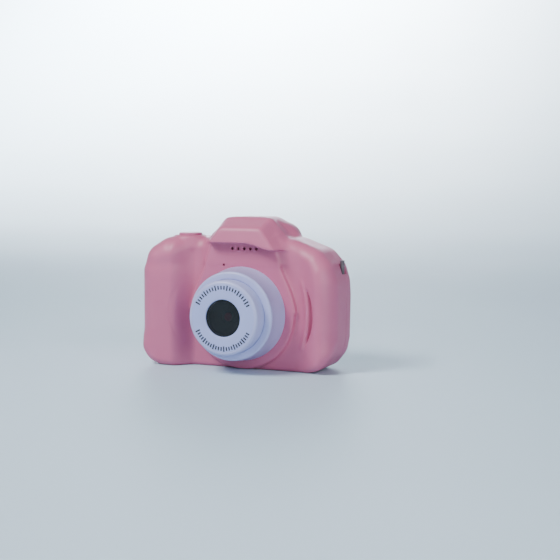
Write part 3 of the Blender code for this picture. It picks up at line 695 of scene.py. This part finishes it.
def light_baffle():
    low, high = span("lens_baffle")
    front, back = low[1], high[1]
    profile = [
        (6.9, front), (6.0, front + 0.2), (5.0, front + 0.5), (4.0, front + 0.8), (2.8, front + 1.05),
        (2.4, front + 1.15), (2.4, back), (5.2, back), (6.9, front + 1.2),
    ]
    dress(turned("light_baffle", profile, LENS_CENTRE, steps=96), MATT_BLACK, "black_plastic", "lens_baffle")


def front_element():
    """The module's front glass: a spherical dome on a short cylinder, whose pink base colour is a painted
    reflection of its coating.
    """
    low, high = span("glass_lens")
    radius = (high[0] - low[0]) / 2
    sag = high[1] - low[1] - 0.8
    dome_r = (radius * radius + sag * sag) / (2 * sag)
    reach = math.asin(radius / dome_r)
    dome = []
    for k in range(11):
        angle = reach * k / 10
        dome.append((dome_r * math.sin(angle), low[1] + dome_r * (1 - math.cos(angle))))
    profile = [*dome, (radius, high[1]), (0, high[1])]
    dress(turned("front_element", profile, LENS_CENTRE, steps=64), PAINTED_REFLECTION_PINK, "glass", "glass_lens")


def module_barrel():
    low, high = span("lens_holder")
    front, back = low[1], high[1]
    profile = [
        (0, front + 1.0), (2.0, front + 1.0), (2.0, front), (3.4, front), (3.6, front + 0.2), (3.6, back),
        (0, back),
    ]
    dress(turned("module_barrel", profile, LENS_CENTRE, steps=64), BLACK, "black_plastic", "lens_holder")


def marks():
    """A plain index scale on the face plate, in two arcs of short bars."""
    bm = bmesh.new()
    y = span("lens_face_plate")[0][1]
    for start, end, count in ((153, 27, 22), (207, 333, 24)):
        for k in range(count):
            angle = math.radians(start + (end - start) * k / (count - 1))
            reach = 2.1 if k % 4 == 0 else 1.5
            turn = Matrix.Rotation(-angle, 4, "Y")
            place = Matrix.Translation((LENS_X, y + 0.034, LENS_Z)) @ turn @ Matrix.Translation((11.9, 0, 0))
            size = Matrix.Diagonal((reach, 0.08, 0.6, 1))
            bmesh.ops.create_cube(bm, size=1, matrix=place @ size)
    dress(finish_mesh("index_marks", bm), INK, "black_plastic")


# ---------------------------------------------------------------- keys, screen and what the CAD still shows
def shutter_cap():
    """The shutter button on its stem, with a shallow dish in its top."""
    base, top, radius, stem_r, under = SHUTTER_LOW[2], SHUTTER_HIGH[2], SHUTTER_R, 1.5, 50.6
    profile = [
        (0, base), (stem_r, base), (stem_r, under), (radius, under),
        *arc((radius - 0.8, top - 0.8), 0.8, 0, 90, 8),
        (radius - 1.6, top - 0.08), (1.6, top - 0.2), (0, top - 0.22),
    ]
    cap = turned("shutter_cap", profile, (*SHUTTER[:2], 0), "Z", 96)
    dress(cap, KEY_PINK, "pink_button", "shutter_button", body="shutter")


def key_caps():
    """The rear keys: a stem, a flange behind the shell's wall, and a cap with a rounded rim."""
    stem_r, flange_y, shoulder_y = 1.2, 9.8, 10.6
    for node in KEYS:
        low, high = span(node)
        x, _, z = middle(node)
        radius, top = key_cap_radius(node), high[1]
        flange_r = radius + FLANGE
        profile = [
            (0, low[1]), (stem_r, low[1]), (stem_r, flange_y), (flange_r, flange_y), (flange_r, shoulder_y),
            (radius, shoulder_y), *arc((radius - 0.55, top - 0.55), 0.55, 0, 90, 6), (0.8, top - 0.12),
            (0, top - 0.14),
        ]
        body = node.replace("_button", "_key")
        dress(turned(node + "_cap", profile, (x, 0, z), steps=72), KEY_PINK, "pink_button", node, body=body)


def screen():
    cover = plate("display_glass", COVER_LOW, COVER_HIGH, 2.0, 0.22)
    dress(cover, SMOKE, "smoked_acrylic", "screen_cover")


CARRIED = {
    "module_bracket": BLACK, "lcd_frame": BLACK, "processor_chip": BLACK, "memory_chip": BLACK,
    "speaker": BLACK, "sensor_board": BOARD, "main_board": BOARD, "sensor_ribbon": AMBER,
    "strap_pin_left_hand": DARK_STEEL, "strap_pin_right_hand": DARK_STEEL, "lcd_panel": DISPLAY,
    "battery": FOIL, "battery_wire_red": RED_WIRE, "battery_wire_black": BLACK_WIRE,
}


def carried_over():
    """Gives every CAD node that still shows its finish, which is steel where CARRIED doesn't name one."""
    for name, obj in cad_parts.items():
        if obj.hide_render:
            continue
        for slot in obj.material_slots:
            slot.material = CARRIED.get(name, STEEL)


camera()
studio()
front_shell()
rear_shell()
lens_ring()
lens_tube()
lens_face()
lens_window()
light_baffle()
front_element()
module_barrel()
marks()
shutter_cap()
key_caps()
screen()
carried_over()

bpy.context.view_layer.update()
